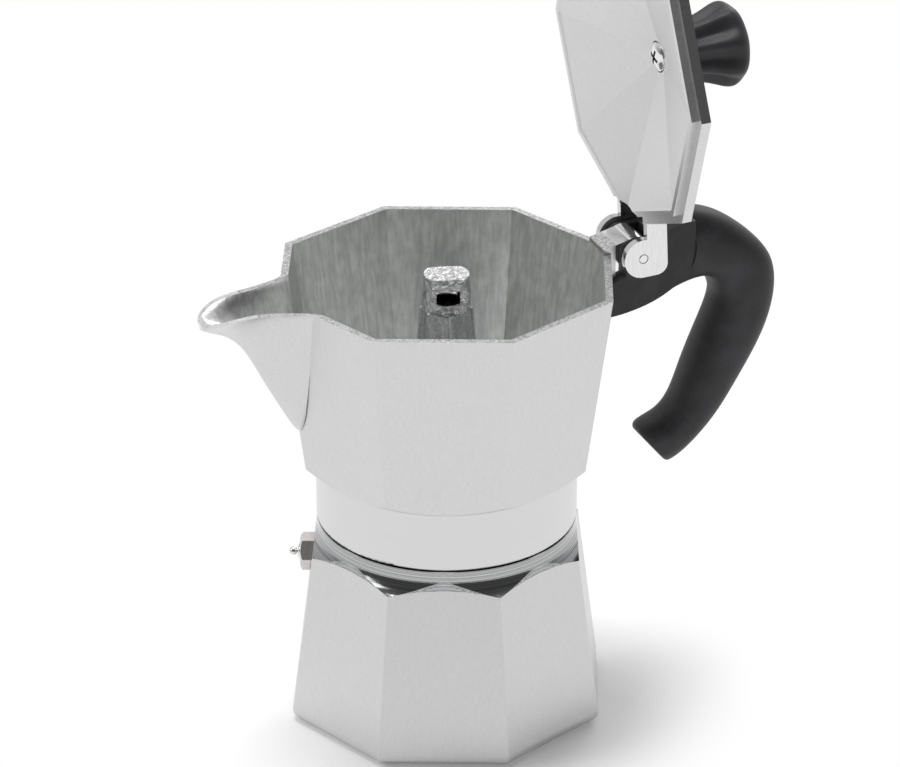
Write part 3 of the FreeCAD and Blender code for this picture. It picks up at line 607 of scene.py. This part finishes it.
@dataclass(frozen=True)
class Softbox:
    """Square area lamp that faces the pot."""

    name: str
    spot: tuple[float, float, float]
    side: float
    power: float
    aim_height: float = 0.08

    def build(self) -> None:
        """Hang the lamp at its spot, in metres, aimed at the middle of the pot."""
        lamp = bpy.data.lights.new(self.name, "AREA")
        lamp.shape = "SQUARE"
        lamp.size = self.side
        lamp.energy = self.power
        holder = bpy.data.objects.new(self.name, lamp)
        holder.location = self.spot
        aim = Vector((0.0, 0.0, self.aim_height)) - Vector(self.spot)
        holder.rotation_euler = aim.to_track_quat("-Z", "Y").to_euler()
        bpy.context.scene.collection.objects.link(holder)


@dataclass
class Studio:
    """White floor and backdrop, dark room on the camera's side, soft lamps."""

    floor_r: float = 3200.0
    spokes: int = 64
    rings: int = 24
    floor_fade: tuple[float, float] = (48.0, 86.0)
    floor_glow: float = 0.14
    front_light: float = 0.10
    back_light: float = 0.74
    back_direction: tuple[float, float] = (0.366, 0.930)
    turn_to_light: tuple[float, float] = (-0.35, 0.75)
    lamps: tuple[Softbox, ...] = (
        Softbox("left_softbox", (-1.25, 0.35, 0.95), 0.9, 7.0),
        Softbox("right_softbox", (0.9, 0.9, 0.8), 0.7, 4.0),
        Softbox("top_softbox", (-0.1, 0.15, 1.35), 0.5, 11.0),
    )

    def build(self) -> None:
        """Make the floor, the surround and the lamps."""
        self._floor()
        self._surround()
        for lamp in self.lamps:
            lamp.build()

    def _floor(self) -> None:
        """Disc-shaped floor, as rings about the axis: radius grows with the square of the ring's number."""
        radius = self.floor_r * (np.linspace(0.02, 1, self.rings)[:, None] ** 2)
        turn = np.linspace(0, 2 * math.pi, self.spokes + 1)[None, :-1]
        level = np.zeros_like(radius * turn)
        points = np.stack([radius * np.cos(turn), radius * np.sin(turn), level], axis=2)
        faces = wrap_grid(points, False, True).tolist() + [list(range(self.spokes))]
        floor = write_mesh("floor", points.reshape(-1, 3), faces)
        floor.data.materials.append(self._floor_material())

    def _floor_material(self) -> bpy.types.Material:
        """White matt floor with a little glow of its own, which turns to plain light away from the pot."""
        made = bpy.data.materials.new("studio_floor")
        made.use_nodes = True
        graph = Graph(made.node_tree)
        far = graph.place().radius().ramp(*self.floor_fade)
        matt = graph.node("ShaderNodeBsdfDiffuse", {}, {"Color": (0.9, 0.9, 0.9, 1.0)})
        glow = graph.node("ShaderNodeEmission", {}, {"Color": WHITE, "Strength": self.floor_glow})
        near = graph.node("ShaderNodeAddShader", {}, {0: matt, 1: glow})
        plain = graph.node("ShaderNodeEmission", {}, {"Color": WHITE, "Strength": 1.0})
        mixed = graph.node("ShaderNodeMixShader", {}, {0: far, 1: near, 2: plain})
        graph.node("ShaderNodeOutputMaterial", {}, {"Surface": mixed})
        return made

    def _surround(self) -> None:
        """White to the eye. As light it is dim on the camera's side and bright behind the pot."""
        world = bpy.data.worlds.new("studio_world")
        bpy.context.scene.world = world
        world.use_nodes = True
        graph = Graph(world.node_tree)
        ray = graph.split(graph.node("ShaderNodeTexCoord", {}, {}, "Object"))
        toward = ray.x * self.back_direction[0] + ray.y * self.back_direction[1]
        light = toward.ramp(*self.turn_to_light, self.front_light, self.back_light)
        seen = graph.node("ShaderNodeLightPath", {}, {}, "Is Camera Ray")
        back = graph.node("ShaderNodeBackground", {}, {"Color": WHITE, "Strength": light.larger(seen)})
        graph.node("ShaderNodeOutputWorld", {}, {"Surface": back})


@dataclass
class PotCamera:
    """Long-lens camera that looks down on the pot from the spout's side."""

    lens: float = 150.8
    target: tuple[float, float, float] = (0.0141, 0.0334, 0.0745)
    distance: float = 1.02285
    azimuth: float = -21.48
    elevation: float = 25.93

    def build(self) -> None:
        """Place the camera at its distance from the target, along the two angles."""
        turn = math.radians(self.azimuth)
        tilt = math.radians(self.elevation)
        level = math.cos(tilt)
        back = Vector((math.sin(turn) * level, -math.cos(turn) * level, math.sin(tilt)))
        data = bpy.data.cameras.new("pot_camera")
        data.lens = self.lens
        data.clip_start = 0.05
        camera = bpy.data.objects.new("pot_camera", data)
        camera.location = Vector(self.target) + back * self.distance
        camera.rotation_euler = (-back).to_track_quat("-Z", "Y").to_euler()
        bpy.context.scene.collection.objects.link(camera)
        bpy.context.scene.camera = camera


# ---------------------------------------------------------------- sub-assemblies


def node(name: str) -> bpy.types.Object:
    """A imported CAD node's object."""
    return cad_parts[name]


@dataclass(frozen=True)
class ThreadRidge:
    """Helical ridge of a screw thread, standing on a plain cylinder."""

    name: str
    body: str
    root_r: float
    crest_r: float
    low_z: float
    high_z: float
    pitch: float = 3.0
    steps: int = 64
    profile: int = 9
    half_width: float = 0.42
    sink: float = 0.25
    fade_turn: float = 0.35
    finish: Finish = SpunSheet("turned_thread", (0.82, 0.82, 0.82), 0.24)

    def build(self) -> bpy.types.Object:
        """Carry a rounded ridge profile along a right-handed helix.

        The height rises by the pitch each turn; the crest fades into the root over the first and last
        third of a turn, and the profile's two edges are sunk under the root.

        Returns:
            The ridge, riding on its body.
        """
        turns = (self.high_z - self.low_z) / self.pitch
        count = int(turns * self.steps) + 1
        angle = np.linspace(0, 2 * math.pi * turns, count)
        from_end = np.minimum(angle, angle[-1] - angle)
        fade = np.clip(from_end / (self.fade_turn * 2 * math.pi), 0.02, 1.0)
        across = np.linspace(-1, 1, self.profile)
        rise = 0.5 + 0.5 * np.cos(math.pi * across)
        depth = self.crest_r - self.root_r
        reach = depth * rise[None, :] * fade[:, None]
        sunk = np.where(np.abs(across) > 0.99, -self.sink * np.sign(depth), 0.0)
        radius = self.root_r + reach + sunk[None, :]
        climb = self.pitch * angle[:, None] / (2 * math.pi)
        z = self.low_z + climb + across[None, :] * self.pitch * self.half_width
        points = np.stack([radius * np.cos(angle)[:, None], radius * np.sin(angle)[:, None], z], axis=2)
        sides = wrap_grid(points, False, True)
        first = np.arange(self.profile)
        last = first[::-1] + (count - 1) * self.profile
        ends = np.stack([first, last])
        if depth < 0:
            sides = sides[:, ::-1]
            ends = ends[:, ::-1]
        piece = write_mesh(self.name, points.reshape(-1, 3), sides.tolist() + ends.tolist())
        return place_piece(piece, self.body, self.finish)


@dataclass
class Boiler:
    """Water chamber with its threaded neck."""

    skin: Finish = BoilerSkin("boiler_aluminium")
    neck: ThreadRidge = ThreadRidge("neck_thread", "boiler", 29.2, 30.0, 56.6, 64.4)

    def build(self) -> None:
        """Dress the casting and add its thread."""
        self.skin.dress(node("boiler"))
        self.neck.build()


@dataclass
class SafetyValve:
    """Hexagonal valve with its cap, pin, spring and seal."""

    nickel: Finish = BrightMetal("valve_nickel", (0.78, 0.73, 0.72), 0.36, 0.9)
    steel: Finish = BrightMetal("valve_steel", (0.8, 0.79, 0.77), 0.16)
    rubber: Finish = Rubber("valve_rubber")

    def build(self) -> None:
        """Dress the valve's pieces."""
        self.nickel.dress(node("valve_body"))
        self.steel.dress(node("valve_cap"), node("valve_pin"), node("valve_spring"))
        self.rubber.dress(node("valve_seal"))


@dataclass
class Funnel:
    """Coffee basket with its tube and strainer."""

    sheet: Finish = SpunSheet("funnel_sheet")

    def build(self) -> None:
        """Dress the sheet pieces."""
        self.sheet.dress(node("funnel_basket"), node("funnel_tube"), node("funnel_strainer"))


@dataclass
class FilterPack:
    """Filter disc and the gasket that holds it."""

    sheet: Finish = SpunSheet("filter_sheet", (0.78, 0.785, 0.79), 0.3)
    silicone: Finish = Rubber("gasket_silicone", (0.82, 0.81, 0.78), 0.5)

    def build(self) -> None:
        """Dress the disc and the gasket."""
        self.sheet.dress(node("filter_disc"))
        self.silicone.dress(node("gasket"))


@dataclass
class Collector:
    """Octagonal cup with the spout, the column, the collar and the hinge lug."""

    skin: Finish = CollectorSkin("collector_aluminium")
    pin_steel: Finish = BrightMetal("hinge_steel", (0.85, 0.85, 0.85), 0.12)
    collar: ThreadRidge = ThreadRidge("collar_thread", "collector", 30.95, 30.15, 57.6, 63.6)

    def build(self) -> None:
        """Dress the casting and its pin, and add the thread."""
        self.skin.dress(node("collector"))
        self.pin_steel.dress(node("hinge_pin"))
        self.collar.build()


@dataclass
class Handle:
    """Moulded handle."""

    moulding: Finish = BlackMoulding("handle_moulding")

    def build(self) -> None:
        """Dress the handle."""
        self.moulding.dress(node("handle"))


@dataclass
class Lid:
    """Cast lid with its fluted knob, insert and screw."""

    skin: Finish = LidSkin("lid_aluminium")
    moulding: Finish = BlackMoulding("knob_moulding")
    brass: Finish = BrightMetal("insert_brass", (0.8, 0.6, 0.3), 0.3)
    steel: Finish = BrightMetal("screw_steel", (0.86, 0.86, 0.86), 0.14, 1.6)

    def build(self) -> None:
        """Dress the lid's pieces."""
        self.skin.dress(node("lid"))
        self.moulding.dress(node("knob"))
        self.brass.dress(node("knob_insert"))
        self.steel.dress(node("knob_screw"))


def main() -> None:
    """Build the studio, the camera and every sub-assembly, in order."""
    logging.basicConfig(level=logging.INFO, format="%(name)s: %(message)s")
    bpy.context.scene.view_settings.view_transform = "Standard"
    surroundings = (Studio(), PotCamera())
    pieces = (Boiler(), SafetyValve(), Funnel(), FilterPack(), Collector(), Handle(), Lid())
    for part in surroundings + pieces:
        part.build()
        LOG.info("%s done", type(part).__name__)


if __name__ == "__main__":
    main()
